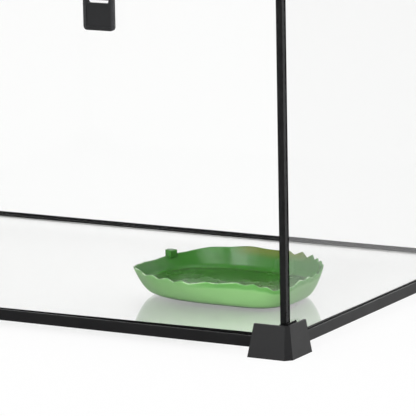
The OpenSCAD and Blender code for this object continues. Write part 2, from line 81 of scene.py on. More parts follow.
class TankSettings(bpy.types.PropertyGroup):
    """Sizes of the glass, the silicone and the moulded parts' edges."""
    arris: FloatProperty(name="Arris", description="Bevel ground on the edges of the panes",
                         default=0.45 * MM, min=0.1 * MM, unit="LENGTH")
    bite: FloatProperty(name="Silicone bite", description="How far the silicone wets into the glass faces",
                        default=0.05 * MM, min=0, unit="LENGTH")
    corner_bead: FloatProperty(name="Corner bead", description="Width of the bead in the upright corners",
                               default=1.4 * MM, min=0.5 * MM, unit="LENGTH")
    floor_bead: FloatProperty(name="Floor bead", description="Width of the bead on the floor pane",
                              default=3.0 * MM, min=0.5 * MM, unit="LENGTH")
    bead_thin: FloatProperty(name="Thin bead", description="Height of the thinnest floor bead, as a share",
                             default=0.42, min=0.2, max=0.95, subtype="FACTOR")
    edge_round: FloatProperty(name="Edge round", description="Radius on the edges of the moulded parts",
                              default=0.35 * MM, min=0.05 * MM, unit="LENGTH")


class DishSettings(bpy.types.PropertyGroup):
    """Shape of the leaf dish. The plan and the rim follow the frame's own dish."""
    lip: FloatProperty(name="Lip", description="Thickness of the wall at the rim",
                       default=1.3 * MM, min=0.5 * MM, unit="LENGTH")
    wall: FloatProperty(name="Wall", description="Thickness of the wall at the bowl's floor",
                        default=2.0 * MM, min=MM, unit="LENGTH")
    base: FloatProperty(name="Base share", description="Size of the base as a share of the rim",
                        default=0.8, min=0.5, max=0.95, subtype="FACTOR")
    tuck: FloatProperty(name="Tuck", description="How much smaller the base is at the front, as a share",
                        default=0.16, min=0, max=0.3, subtype="FACTOR")
    floor: FloatProperty(name="Bowl floor", description="Height of the bowl's floor above the underside",
                         default=9.6 * MM, min=2 * MM, unit="LENGTH")
    steps: IntProperty(name="Steps", description="Divisions round the dish", default=480, min=96)
    tooth: FloatProperty(name="Tooth", description="Depth of the notches between the leaf's teeth",
                         default=2.2 * MM, min=0, unit="LENGTH")
    vein: FloatProperty(name="Vein", description="Height of the veins inside the dish",
                        default=0.18 * MM, min=0, unit="LENGTH")


class ScreenSettings(bpy.types.PropertyGroup):
    """Weave of the lid's screen."""
    pitch: FloatProperty(name="Pitch", description="Distance from wire to wire",
                         default=2.5 * MM, min=MM, unit="LENGTH")
    wire: FloatProperty(name="Wire", description="Radius of a wire", default=0.16 * MM, min=0.05 * MM,
                        unit="LENGTH")


class ColourSettings(bpy.types.PropertyGroup):
    """Base colours, linear."""
    glass: FloatVectorProperty(name="Glass", description="Tint of the float glass",
                               default=(0.997, 0.999, 0.996), subtype="COLOR")
    silicone: FloatVectorProperty(name="Silicone", description="Black silicone",
                                  default=(0.003, 0.003, 0.0033), subtype="COLOR")
    plastic: FloatVectorProperty(name="Plastic", description="Black moulded plastic",
                                 default=(0.012, 0.012, 0.0125), subtype="COLOR")
    foot: FloatVectorProperty(name="Foot plastic", description="Slightly greyer plastic of the feet",
                              default=(0.022, 0.022, 0.023), subtype="COLOR")
    latch: FloatVectorProperty(name="Latch plastic", description="Black plastic of the latches",
                               default=(0.016, 0.0165, 0.018), subtype="COLOR")
    leaf_inside: FloatVectorProperty(name="Leaf inside", description="Glaze in the bowl of the dish",
                                     default=(0.032, 0.125, 0.015), subtype="COLOR")
    leaf_outside: FloatVectorProperty(name="Leaf outside", description="Glaze on the outside of the dish",
                                      default=(0.258, 0.520, 0.192), subtype="COLOR")
    # Painted shade: a deeper green under the rim, outside, where the wall is turned away from the light off
    # the floor.
    leaf_band_shade: FloatVectorProperty(name="Leaf band", description="Deeper glaze under the rim, outside",
                                   default=(0.130, 0.400, 0.085), subtype="COLOR")
    # Painted highlight: a pale colour on the rim's edge, where light catches the thin lip.
    leaf_lip_highlight: FloatVectorProperty(name="Leaf lip", description="Worn paint on the edge of the rim",
                                  default=(0.46, 0.60, 0.40), subtype="COLOR")
    leaf_wall: FloatVectorProperty(name="Leaf wall", description="Glaze on the inner wall of the dish",
                                   default=(0.034, 0.160, 0.018), subtype="COLOR")
    # Painted shade: grey green on the dish's rounded lowest edge, which is shaded from below.
    leaf_foot: FloatVectorProperty(name="Leaf foot", description="Bare foot under the dish",
                                   default=(0.17, 0.24, 0.16), subtype="COLOR")
    leaf_tint: FloatVectorProperty(name="Leaf tint", description="Olive brown brushed on the back of the rim",
                                   default=(0.110, 0.150, 0.012), subtype="COLOR")


class StageSettings(bpy.types.PropertyGroup):
    """Camera, light and floor."""
    yaw: FloatProperty(name="Yaw", description="Turn of the camera to the tank's left from straight ahead",
                       default=math.radians(29.140), subtype="ANGLE")
    pitch: FloatProperty(name="Pitch", description="Tilt of the camera down from level",
                         default=math.radians(10.955), subtype="ANGLE")
    roll: FloatProperty(name="Roll", description="Turn of the camera about its own axis",
                        default=math.radians(-1.054), subtype="ANGLE")
    place: FloatVectorProperty(name="Camera place", description="Where the camera stands",
                               default=(1.28618, -2.11133, 0.52938), subtype="TRANSLATION")
    lens: FloatProperty(name="Lens", description="Focal length for a 36 mm sensor, in millimetres",
                        default=311.54, min=10)
    floor_size: FloatProperty(name="Floor size", description="Width of the floor", default=8.0, unit="LENGTH")
    ambient: FloatProperty(name="Ambient", description="Strength of the light from all round", default=0.75,
                           min=0)
    show_floor: BoolProperty(name="Floor", description="Make the floor", default=True)


SETTINGS = {
    "terrarium_tank": TankSettings,
    "terrarium_dish": DishSettings,
    "terrarium_screen": ScreenSettings,
    "terrarium_colours": ColourSettings,
    "terrarium_stage": StageSettings,
}


# ---------------------------------------------------------------- materials

class Tree:
    """The node tree of a material or of the world, with the steps that the finishes are made of."""

    def __init__(self, owner):
        owner.use_nodes = True
        self.nodes, self.links = owner.node_tree.nodes, owner.node_tree.links

    def new(self, kind, **settings):
        """A new shader node with its settings."""
        node = self.nodes.new("ShaderNode" + kind)
        for name, value in settings.items():
            setattr(node, name, value)
        return node

    def feed(self, socket, value):
        """Gives a socket its value: another socket, a number or a linear colour."""
        if isinstance(value, bpy.types.NodeSocket):
            self.links.new(value, socket)
        else:
            socket.default_value = value if isinstance(value, (int, float)) else (*value, 1.0)

    def coordinates(self, scale=(1, 1, 1)):
        """Object coordinates through a Mapping node."""
        mapping = self.new("Mapping")
        mapping.inputs["Scale"].default_value = scale
        self.links.new(self.new("TexCoord").outputs["Object"], mapping.inputs["Vector"])
        return mapping.outputs["Vector"]

    def axes(self, vector):
        """The X, Y and Z outputs of a vector."""
        node = self.new("SeparateXYZ")
        self.links.new(vector, node.inputs["Vector"])
        return node.outputs

    def attribute(self, name):
        """A float that the mesh carries."""
        return self.new("Attribute", attribute_name=name).outputs["Fac"]

    def noise(self, vector, scale, detail=3.0, roughness=0.5):
        """A noise texture read on a vector."""
        node = self.new("TexNoise")
        node.inputs["Scale"].default_value = scale
        node.inputs["Detail"].default_value = detail
        node.inputs["Roughness"].default_value = roughness
        self.links.new(vector, node.inputs["Vector"])
        return node.outputs["Fac"]

    def remap(self, value, low, high, to_low, to_high, kind="LINEAR"):
        """A value moved from one range to another."""
        node = self.new("MapRange", interpolation_type=kind)
        node.inputs["From Min"].default_value = low
        node.inputs["From Max"].default_value = high
        node.inputs["To Min"].default_value = to_low
        node.inputs["To Max"].default_value = to_high
        self.links.new(value, node.inputs["Value"])
        return node.outputs["Result"]

    def ease(self, value, low, high, to_low, to_high):
        """A value moved from one range to another with soft ends."""
        return self.remap(value, low, high, to_low, to_high, "SMOOTHSTEP")

    def math(self, operation, a, b):
        """A Math node; a and b are sockets or numbers."""
        node = self.new("Math", operation=operation)
        self.feed(node.inputs[0], a)
        self.feed(node.inputs[1], b)
        return node.outputs["Value"]

    def product(self, first, *others):
        """Sockets or numbers multiplied together."""
        for other in others:
            first = self.math("MULTIPLY", first, other)
        return first

    def mix(self, factor, a, b):
        """A colour mix; a and b are sockets or linear colours."""
        node = self.new("Mix", data_type="RGBA")
        self.links.new(factor, node.inputs["Factor"])
        self.feed(node.inputs[6], a)
        self.feed(node.inputs[7], b)
        return node.outputs[2]

    def bump(self, shader, heights):
        """Bump nodes in a row. heights is a list of (height socket, strength, distance)."""
        normal = None
        for height, strength, distance in heights:
            bump = self.new("Bump")
            bump.inputs["Strength"].default_value = strength
            bump.inputs["Distance"].default_value = distance
            self.links.new(height, bump.inputs["Height"])
            if normal is not None:
                self.links.new(normal, bump.inputs["Normal"])
            normal = bump.outputs["Normal"]
        self.links.new(normal, shader.inputs["Normal"])

    def finish(self, factor, first, second, output):
        """Mixes two shaders into the tree's output."""
        mix = self.new("MixShader")
        self.links.new(factor, mix.inputs["Fac"])
        self.links.new(first, mix.inputs[1])
        self.links.new(second, mix.inputs[2])
        self.links.new(mix.outputs["Shader"], self.nodes[output].inputs["Surface"])

    def straight_view(self, path):
        """1 for what the camera sees directly or through glass, 0 for what shines back off something."""
        seen = self.math("MAXIMUM", path.outputs["Is Camera Ray"], path.outputs["Is Transmission Ray"])
        turned = self.math("ADD", path.outputs["Glossy Depth"], path.outputs["Diffuse Depth"])
        return self.product(seen, self.math("LESS_THAN", turned, 0.5))


def new_material(name):
    """A material with a Principled shader. Returns it with its tree and its shader."""
    material = bpy.data.materials.new(name)
    tree = Tree(material)
    return material, tree, tree.nodes["Principled BSDF"]


def shade(colour, factor):
    """A colour made lighter or darker."""
    return tuple(min(1.0, channel * factor) for channel in colour)


GLASS_IOR = 1.5


def make_glass(name, mirror):
    """Clear float glass. Lamps shine straight through it. mirror is how much it shows of the room."""
    colours = bpy.context.scene.terrarium_colours
    material, tree, shader = new_material(name)
    shader.inputs["Specular IOR Level"].default_value = mirror
    shader.inputs["Specular Tint"].default_value = (2 * mirror, 2 * mirror, 2 * mirror, 1)
    shader.inputs["Base Color"].default_value = (*colours.glass, 1)
    shader.inputs["Roughness"].default_value = 0.0
    shader.inputs["IOR"].default_value = GLASS_IOR
    shader.inputs["Transmission Weight"].default_value = 1.0
    clear = tree.new("BsdfTransparent")
    clear.inputs["Color"].default_value = (*colours.glass, 1)
    tree.finish(tree.new("LightPath").outputs["Is Shadow Ray"], shader.outputs["BSDF"], clear.outputs["BSDF"],
                "Material Output")
    return material


def make_silicone():
    """Black silicone: satin, with the faint drag of the smoothing tool."""
    colours = bpy.context.scene.terrarium_colours
    material, tree, shader = new_material("black_silicone")
    vector = tree.coordinates()
    blotch = tree.noise(vector, 60, 4)
    drag = tree.noise(tree.coordinates((400, 400, 12)), 1, 2)
    colour = tree.mix(blotch, shade(colours.silicone, 0.8), shade(colours.silicone, 1.3))
    tree.links.new(colour, shader.inputs["Base Color"])
    tree.links.new(tree.remap(blotch, 0.3, 0.7, 0.34, 0.5), shader.inputs["Roughness"])
    shader.inputs["Specular IOR Level"].default_value = 0.18
    tree.bump(shader, [(drag, 0.15, 0.0002)])
    return material


def make_plastic(name, colour, roughness, grain, specular=0.5):
    """Black moulded plastic: spark-eroded grain, faint flow marks and slight variation in sheen."""
    material, tree, shader = new_material(name)
    vector = tree.coordinates()
    flow = tree.noise(vector, 45, 5, 0.6)
    speck = tree.noise(vector, 900, 2)
    fine = tree.noise(vector, 2600, 2, 0.6)
    tone = tree.mix(flow, shade(colour, 0.82), shade(colour, 1.2))
    dust = tree.ease(speck, 0.66, 0.8, 0.0, 0.35)
    tree.links.new(tree.mix(dust, tone, shade(colour, 2.2)), shader.inputs["Base Color"])
    sheen = tree.remap(flow, 0.3, 0.7, roughness - 0.05, roughness + 0.07)
    tree.links.new(sheen, shader.inputs["Roughness"])
    shader.inputs["Specular IOR Level"].default_value = specular
    tree.bump(shader, [(fine, grain, 0.00012), (flow, 0.06, 0.0008)])
    return material


LATCH_BORDER = 2.6 * MM  # width of the latch's raised border, with its soft inner edge
LATCH_BORDER_FULL = 1.2 * MM  # width over which the border is lightest


def make_latch():
    """Latch plastic: lighter in patches on the raised borders at its sides."""
    colours = bpy.context.scene.terrarium_colours
    material = make_plastic("latch_plastic", colours.latch, roughness=0.40, grain=0.22)
    tree = Tree(material)
    shader = tree.nodes["Principled BSDF"]
    vector = tree.coordinates()
    off = tree.math("SUBTRACT", tree.math("ABSOLUTE", tree.axes(vector)["X"], 0.0), LATCH_AT)
    border = tree.ease(tree.math("ABSOLUTE", off, 0.0), LATCH_HALF - LATCH_BORDER,
                       LATCH_HALF - LATCH_BORDER_FULL, 0.0, 1.0)
    lighter_share = tree.product(border, tree.ease(tree.noise(vector, 140, 4, 0.6), 0.35, 0.6, 0.5, 1.0))
    plain = shader.inputs["Base Color"].links[0].from_socket
    tree.links.new(tree.mix(lighter_share, plain, shade(colours.latch, 2.3)), shader.inputs["Base Color"])
    return material


STEEL_DARK, STEEL_LIGHT = (0.50, 0.50, 0.51), (0.70, 0.70, 0.71)


def make_steel():
    """Bright drawn steel with fine lines along its length."""
    material, tree, shader = new_material("bright_steel")
    lines = tree.noise(tree.coordinates((60, 4000, 4000)), 1, 2)
    tree.links.new(tree.mix(lines, STEEL_DARK, STEEL_LIGHT), shader.inputs["Base Color"])
    tree.links.new(tree.remap(lines, 0.3, 0.7, 0.2, 0.36), shader.inputs["Roughness"])
    shader.inputs["Metallic"].default_value = 1.0
    tree.bump(shader, [(lines, 0.2, 0.0001)])
    return material


WIRE_COAT, WIRE_WORN = (0.020, 0.020, 0.021), (0.12, 0.12, 0.12)


def make_wire():
    """Black coated wire, rubbed to a lighter grey in patches."""
    material, tree, shader = new_material("coated_wire")
    patches = tree.noise(tree.coordinates(), 420, 3)
    lighter_share = tree.ease(patches, 0.62, 0.75, 0.0, 0.6)
    tree.links.new(tree.mix(lighter_share, WIRE_COAT, WIRE_WORN), shader.inputs["Base Color"])
    tree.links.new(tree.remap(patches, 0.3, 0.7, 0.35, 0.55), shader.inputs["Roughness"])
    tree.bump(shader, [(patches, 0.2, 0.0001)])
    return material


# Where the dish's colours change, each from and to: places from the dish's middle, shares of the wall.
# Painted shade: the deeper band under the rim.
SHADE_BAND_X, SHADE_BAND_RISE = (-13.6 * MM, 16.4 * MM), (0.76, 0.86)
# The outside goes darker towards the left end.
SHADE_X = (-66.6 * MM, 16.4 * MM)
# Painted shade on the dish's lowest edge.
FOOT_SHADE_Z = (0.85 * MM, 1.85 * MM)
# Painted highlight on the rim's edge, strongest at the front.
HIGHLIGHT_FRONT_Y = (-6 * MM, 14 * MM)
TINT_Y, TINT_RISE = (28 * MM, 40 * MM), (0.70, 0.96)
TINT_LEFT_X, TINT_RIGHT_X = (-22.6 * MM, -4.6 * MM), (29.4 * MM, 47.4 * MM)
# The part numbers between which the inner wall turns into the bowl's floor, for its colour and for its gloss.
BOWL_TONE, BOWL_GLOSS = (2.2, 2.8), (2.4, 2.9)


def leaf_outside(tree, mottle, rise, axes):
    """Outside of the dish: darker to the left, with painted shade as a deeper band under the rim and painted
    shade on its lowest edge.
    """
    colours = bpy.context.scene.terrarium_colours
    pale = tree.mix(mottle, shade(colours.leaf_outside, 0.94), shade(colours.leaf_outside, 1.08))
    fade = tree.remap(axes["X"], *SHADE_X, 0.55, 0.0)
    pale = tree.mix(fade, pale, shade(colours.leaf_outside, 0.1))
    # Painted shade: a deeper band under the rim, where the wall is turned away from the light off the floor.
    band = tree.product(tree.ease(axes["X"], *SHADE_BAND_X, 0.15, 1.0), tree.ease(rise, *SHADE_BAND_RISE, 0.0, 1.0))
    outer = tree.mix(band, pale, colours.leaf_band_shade)
    # Painted shade on the lowest edge of the wall.
    return tree.mix(tree.ease(axes["Z"], *FOOT_SHADE_Z, 1.0, 0.0), outer, colours.leaf_foot)


def leaf_inside(tree, mottle, part):
    """Inside of the dish: a streaked floor and a clearer wall."""
    colours = bpy.context.scene.terrarium_colours
    streak = tree.ease(tree.noise(tree.coordinates((25, 25, 180)), 1, 3), 0.5, 0.75, 0.0, 0.4)
    tone = tree.mix(mottle, shade(colours.leaf_inside, 0.75), shade(colours.leaf_inside, 1.3))
    floor = tree.mix(streak, tone, shade(colours.leaf_inside, 1.6))
    wall = tree.mix(mottle, shade(colours.leaf_wall, 0.85), shade(colours.leaf_wall, 1.15))
    return tree.mix(tree.ease(part, *BOWL_TONE, 0.0, 1.0), wall, floor)


def leaf_rim(tree, vector, body, rise, axes):
    """Painted highlight in patches along the rim's edge, mostly at the front, and the olive brown brushed on
    the back right.
    """
    colours = bpy.context.scene.terrarium_colours
    # Painted highlight: pale patches along the lip, mostly at the front.
    patches = tree.ease(tree.noise(vector, 160, 4, 0.65), 0.42, 0.62, 0.15, 0.95)
    lighter_share = tree.product(tree.attribute("lip"), patches, tree.ease(axes["Y"], *HIGHLIGHT_FRONT_Y, 1.0, 0.12))
    highlighted = tree.mix(lighter_share, body, colours.leaf_lip_highlight)
    brown = tree.product(tree.ease(axes["Y"], *TINT_Y, 0.0, 1.0),
                         tree.ease(axes["X"], *TINT_LEFT_X, 0.0, 1.0),
                         tree.ease(axes["X"], *TINT_RIGHT_X, 1.0, 0.0),
                         tree.ease(rise, *TINT_RISE, 0.0, 0.9))
    return tree.mix(brown, highlighted, colours.leaf_tint)


def make_leaf():
    """Painted glaze of the dish, with painted shade under the rim and on its lowest edge and a painted
    highlight along the rim's edge. The mesh carries how far up the wall and how far inside a point is.
    """
    material, tree, shader = new_material("leaf_glaze")
    vector = tree.coordinates()
    rise, inside, part = (tree.attribute(name) for name in ("rise", "inside", "part"))
    mottle = tree.noise(vector, 38, 5, 0.6)
    centred = tree.new("VectorMath", operation="SUBTRACT")
    centred.inputs[1].default_value = DISH_MIDDLE
    tree.links.new(vector, centred.inputs[0])
    axes = tree.axes(centred.outputs["Vector"])

    body = tree.mix(inside, leaf_outside(tree, mottle, rise, axes), leaf_inside(tree, mottle, part))
    tree.links.new(leaf_rim(tree, vector, body, rise, axes), shader.inputs["Base Color"])
    rough = tree.math("ADD", tree.remap(inside, 0.0, 1.0, 0.42, 0.25),
                      tree.remap(mottle, 0.3, 0.7, -0.04, 0.05))
    tree.links.new(rough, shader.inputs["Roughness"])
    shader.inputs["Specular IOR Level"].default_value = 0.36
    tree.links.new(tree.ease(part, *BOWL_GLOSS, 0.0, 0.3), shader.inputs["Coat Weight"])
    shader.inputs["Coat Roughness"].default_value = 0.1
    tree.bump(shader, [(tree.noise(vector, 520, 3), 0.10, 0.0003), (mottle, 0.2, 0.0012)])
    return material


FLOOR_GREY = 0.82
FLOOR_GLOW = 0.92  # share of the floor's look that is the backdrop's white, outside the tank's footprint
FOOTPRINT_EDGE = 25 * MM  # width over which the shadow under the tank fades out
SHADOW_X = (0.16, 0.22)  # where the shadow turns lighter, towards the tank's right end


def make_floor():
    """White floor that shows as the backdrop does and keeps the tank's shadow."""
    material, tree, shader = new_material("white_floor")
    shader.inputs["Base Color"].default_value = (FLOOR_GREY, FLOOR_GREY, FLOOR_GREY, 1)
    shader.inputs["Roughness"].default_value = 1.0
    shader.inputs["Specular IOR Level"].default_value = 0.0
    glow = tree.new("Emission")
    glow.inputs["Strength"].default_value = 1.0
    axes = tree.axes(tree.coordinates())
    shadow = tree.ease(axes["X"], *SHADOW_X, 0.40, 0.05)
    for axis, half in (("X", HALF_W), ("Y", HALF_D)):
        off = tree.math("ABSOLUTE", axes[axis], 0.0)
        shadow = tree.product(shadow, tree.ease(off, half - FOOTPRINT_EDGE, half, 1.0, 0.0))
    share = tree.product(tree.straight_view(tree.new("LightPath")), tree.math("SUBTRACT", FLOOR_GLOW, shadow))
    tree.finish(share, shader.outputs["BSDF"], glow.outputs["Emission"], "Material Output")
    return material


def moulded(name, colour, roughness, grain, specular=0.5):
    """A maker of moulded plastic in one of the settings' colours."""
    return lambda: make_plastic(name, getattr(bpy.context.scene.terrarium_colours, colour), roughness, grain,
                                specular)


MAKERS = {
    "glass": lambda: make_glass("side_glass", mirror=0.5),
    "front_glass": lambda: make_glass("front_glass", mirror=0.06),
    "silicone": make_silicone,
    "trim": moulded("trim_plastic", "plastic", roughness=0.34, grain=0.10, specular=0.4),
    "rim": moulded("rim_plastic", "plastic", roughness=0.38, grain=0.16),
    "foot": moulded("foot_plastic", "foot", roughness=0.42, grain=0.30),
    "latch": make_latch,
    "pin": make_steel,
    "screen": make_wire,
    "dish": make_leaf,
}


def material_for(slot):
    """The material of one of the record's slots, or of the front and back panes, made once."""
    kept = "terrarium_" + slot
    if kept not in bpy.data.materials:
        material = MAKERS[slot]()
        material.name = kept
    return bpy.data.materials[kept]


# ---------------------------------------------------------------- mesh helpers

def finish_piece(bm, name, body, slot, replaces=(), smooth=True, fix_normals=True):
    """Turns a bmesh into a piece that rides on a body."""
    if fix_normals:
        bmesh.ops.recalc_face_normals(bm, faces=bm.faces)
    mesh = bpy.data.meshes.new(name)
    bm.to_mesh(mesh)
    bm.free()
    piece = bpy.data.objects.new(name, mesh)
    bpy.context.collection.objects.link(piece)
    mesh.materials.append(material_for(slot))
    for polygon in mesh.polygons:
        polygon.use_smooth = smooth
    if replaces:
        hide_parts(*replaces)
    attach(piece, body)
    return piece


def bevel_edges(bm, edges, width, segments):
    """Rounds the given edges."""
    bmesh.ops.bevel(bm, geom=edges, offset=width, offset_type="OFFSET", segments=segments,
                    profile=0.5, affect="EDGES", clamp_overlap=True, material=-1)


SHARP = math.radians(32)  # edges that turn more than this are rounded
FLAT = math.radians(0.5)  # faces that turn less than this are one face


def round_off(piece, width, segments):
    """Rounds the sharp edges with a Bevel modifier and keeps the shading of the large faces flat."""
    bevel = piece.modifiers.new("round", "BEVEL")
    bevel.width = width
    bevel.segments = segments
    bevel.limit_method = "ANGLE"
    bevel.angle_limit = SHARP
    bevel.use_clamp_overlap = True
    flat = piece.modifiers.new("flat", "WEIGHTED_NORMAL")
    flat.mode = "FACE_AREA"
    flat.weight = 100


def soften(node, body, slot, width, segments=3):
    """The frame's own shape with its triangles merged and its edges rounded, standing for the node."""
    bm = bmesh.new()
    bm.from_mesh(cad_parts[node].data)
    bmesh.ops.remove_doubles(bm, verts=bm.verts, dist=MERGE)
    bmesh.ops.dissolve_limit(bm, angle_limit=FLAT, verts=bm.verts, edges=bm.edges)
    piece = finish_piece(bm, node + "_moulded", body, slot, replaces=(node,), fix_normals=False)
    round_off(piece, width, segments)


def box_piece(bm, low, high):
    """A box in a bmesh, between two corners."""
    made = bmesh.ops.create_cube(bm, size=1.0)["verts"]
    size = Vector(high) - Vector(low)
    bmesh.ops.scale(bm, vec=size, verts=made)
    bmesh.ops.translate(bm, vec=(Vector(low) + Vector(high)) / 2, verts=made)


def extruded(bm, outline, low, high):
    """An outline in X and Y, extruded from low to high along Z."""
    verts = [bm.verts.new((x, y, low)) for x, y in outline]
    face = bm.faces.new(verts)
    out = bmesh.ops.extrude_face_region(bm, geom=[face])
    top = [item for item in out["geom"] if isinstance(item, bmesh.types.BMVert)]
    bmesh.ops.translate(bm, vec=(0, 0, high - low), verts=top)


def closed_loop(bm, places):
    """A closed loop of edges through the places."""
    verts = [bm.verts.new(place) for place in places]
    return [bm.edges.new(pair) for pair in zip(verts, verts[1:] + verts[:1])]


def extruded_loop(bm, edges):
    """Extrudes a loop of edges. Returns the new loop's vertices and edges."""
    out = bmesh.ops.extrude_edge_only(bm, edges=edges)["geom"]
    verts = [item for item in out if isinstance(item, bmesh.types.BMVert)]
    return verts, [item for item in out if isinstance(item, bmesh.types.BMEdge)
                   and item.verts[0] in verts and item.verts[1] in verts]


def swept_frame(bm, profile, half_x, half_y):
    """A closed rectangular ring with mitred corners. profile is a loop of (inset, height) points."""
    def corners(inset, height):
        x, y = half_x - inset, half_y - inset
        return [Vector((x * a, y * b, height)) for a, b in ((1, 1), (-1, 1), (-1, -1), (1, -1))]

    edges = closed_loop(bm, corners(*profile[0]))
    start = list(edges)
    for inset, height in profile[1:]:
        verts, edges = extruded_loop(bm, edges)
        places = corners(inset, height)
        for vert in verts:
            vert.co = min(places, key=lambda place: (place.x * vert.co.x < 0) + (place.y * vert.co.y < 0))
    bmesh.ops.bridge_loops(bm, edges=start + edges)


def arc(centre, radius, start, end, steps):
    """Points on an arc, angles in degrees."""
    return [(centre[0] + radius * math.cos(math.radians(start + (end - start) * i / steps)),
             centre[1] + radius * math.sin(math.radians(start + (end - start) * i / steps)))
            for i in range(steps + 1)]


# ---------------------------------------------------------------- operators

class TERRARIUM_OT_panes(bpy.types.Operator):
    """Five panes of float glass with ground edges"""
    bl_idname = "terrarium.panes"
    bl_label = "Panes"

    def execute(self, context):
        tank = context.scene.terrarium_tank
        for node in ("glass_front", "glass_back", "glass_left", "glass_right", "glass_floor"):
            low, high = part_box(node)
            bm = bmesh.new()
            box_piece(bm, low, high)
            bevel_edges(bm, bm.edges[:], tank.arris, 2)
            pane = finish_piece(bm, node + "_pane", "tank", "glass", replaces=(node,), smooth=False)
            if node in ("glass_front", "glass_back"):
                pane.material_slots[0].material = material_for("front_glass")
        return {"FINISHED"}


SEAL_SHORT = 0.3 * MM  # how far the silicone stays short of the edges of the glass
THIN_SLOPE = 3.2  # growth of the front bead's height towards the right, as a share per metre
THIN_AT, THIN_SHARE = 0.04, 0.45  # a place in X where the bead grows, and its height there, as a share
SIDE_FULL, SIDE_DROP = 0.85, 0.27  # height of the right bead at the front, and how much it loses, as shares
SIDE_FROM, SIDE_RUN = -0.10, 0.12  # where in Y the right bead starts to drop, and over what length
BACK_SHARE = 0.82  # height of the other beads, as a share
WAVE_SIZE = 0.02  # unevenness of the beads, as a share
LUMP_SEED, LUMPS, LUMPS_FRONT = 7, 11, 3  # the lumps, of which the first three are on the front
LUMP_RADIUS, LUMP_STEP = 1.1 * MM, 1.5 * MM


class TERRARIUM_OT_silicone(bpy.types.Operator):
    """Black silicone in the upright corners and round the floor"""
    bl_idname = "terrarium.silicone"
    bl_label = "Silicone"

    def corner(self, tank, side, end):
        """Outline of one corner seal: the bond between the panes and the hollow bead inside."""
        bead, bite = tank.corner_bead, tank.bite
        outer = HALF_W - tank.arris * 1.1
        hollow = arc((IN_W - bead, -IN_D + bead), bead, -90, 0, 6)
        outline = [(outer, -IN_D - bite), (outer, -IN_D + BOND + bite), (IN_W + bite, -IN_D + BOND + bite),
                   (IN_W + bite, -IN_D + bead), *reversed(hollow), (IN_W - bead, -IN_D - bite)]
        return [(x * side, -y * end) for x, y in outline]

    def bead_share(self, place, tank):
        """Height of the floor bead at a place, as a share: thin along the front's left, full at the right."""
        edge = tank.floor_bead * 1.5
        if place.y < edge - IN_D:
            return min(1.0, max(tank.bead_thin, THIN_SHARE + THIN_SLOPE * (place.x - THIN_AT)))
        if place.x > IN_W - edge:
            return SIDE_FULL - SIDE_DROP * smooth_step((place.y - SIDE_FROM) / SIDE_RUN)
        return BACK_SHARE

    def lumps(self):
        """Silicone squeezed out round the foot of the front right corner."""
        draw = random.Random(LUMP_SEED)
        bm = bmesh.new()
        for step in range(LUMPS):
            made = bmesh.ops.create_icosphere(bm, subdivisions=2, radius=LUMP_RADIUS)["verts"]
            for vert in made:
                vert.co *= draw.uniform(0.85, 1.15)
            along = (step - LUMPS_FRONT + 1) * LUMP_STEP
            tall = draw.uniform(0.8, 1.5)
            if step >= LUMPS_FRONT:
                size, place = (0.7, 1.1, tall), (HALF_W + 0.4 * MM, along - HALF_D, FOOT_TOP)
            else:
                size = (1.1, 0.7, tall)
                place = (HALF_W + along - 0.5 * MM, -HALF_D - 0.4 * MM, FOOT_TOP - 0.6 * MM)
            bmesh.ops.scale(bm, vec=size, verts=made)
            bmesh.ops.translate(bm, vec=place, verts=made)
        finish_piece(bm, "corner_lumps", "tank", "silicone")

    def run_thin(self, bm, tank):
        """Lowers the floor bead to its uneven height."""
        long_edges = [edge for edge in bm.edges if edge.calc_length() > IN_D]
        bmesh.ops.subdivide_edges(bm, edges=long_edges, cuts=47)
        for vert in bm.verts:
            x, y, rise = vert.co.x, vert.co.y, vert.co.z - FLOOR_TOP
            if rise > 0:
                wave = math.sin(x * 31 + y * 43) + 0.6 * math.sin(x * 83 - y * 67 + 2)
                share = self.bead_share(vert.co, tank) + WAVE_SIZE * wave
                vert.co.z = FLOOR_TOP + rise * min(1.0, share)

    def execute(self, context):
        tank = context.scene.terrarium_tank
        for end_name, end in (("front", -1), ("back", 1)):
            for side_name, side in (("left", -1), ("right", 1)):
                bm = bmesh.new()
                extruded(bm, self.corner(tank, side, end), GLASS_Z + SEAL_SHORT, GLASS_TOP - SEAL_SHORT)
                name = f"seal_{end_name}_{side_name}"
                finish_piece(bm, name + "_bead", "tank", "silicone", replaces=(name,), smooth=False)
        self.lumps()
        bm = bmesh.new()
        bead, rise, bite = tank.floor_bead, BEAD_TOP - FLOOR_TOP, tank.bite
        hollow = [(bead - bead * math.sin(t), FLOOR_TOP + rise - rise * math.cos(t))
                  for t in (math.radians(a) for a in range(0, 91, 15))]
        profile = [(-bite, GLASS_Z + SEAL_SHORT), (BOND + bite, GLASS_Z + SEAL_SHORT),
                   (BOND + bite, FLOOR_TOP - bite), (bead, FLOOR_TOP - bite)]
        profile += hollow + [(-bite, FLOOR_TOP + rise)]
        swept_frame(bm, profile, IN_W, IN_D)
        self.run_thin(bm, tank)
        finish_piece(bm, "seal_floor_bead", "tank", "silicone", replaces=("seal_floor",), smooth=False)
        return {"FINISHED"}


class TERRARIUM_OT_mouldings(bpy.types.Operator):
    """Bottom trim, feet, top rim, lid frame, screen ring and latches with rounded edges"""
    bl_idname = "terrarium.mouldings"
    bl_label = "Mouldings"

    def execute(self, context):
        width = context.scene.terrarium_tank.edge_round
        for side in ("front", "back", "left", "right"):
            soften("trim_" + side, "tank", "trim", width)
        for end in ("front", "back"):
            for side in ("left", "right"):
                soften(f"foot_{end}_{side}", "tank", "foot", width * 2, 4)
        soften("top_rim", "tank", "rim", width)
        soften("lid_frame", "lid", "rim", width)
        soften("screen_ring", "lid", "rim", width)
        soften("latch_left", "latch_l", "latch", width * 0.8)
        soften("latch_right", "latch_r", "latch", width * 0.8)
        return {"FINISHED"}


DOME = 0.35  # depth of a pin's domed end, as a share of its radius
SCREW_ROUND = 0.08 * MM


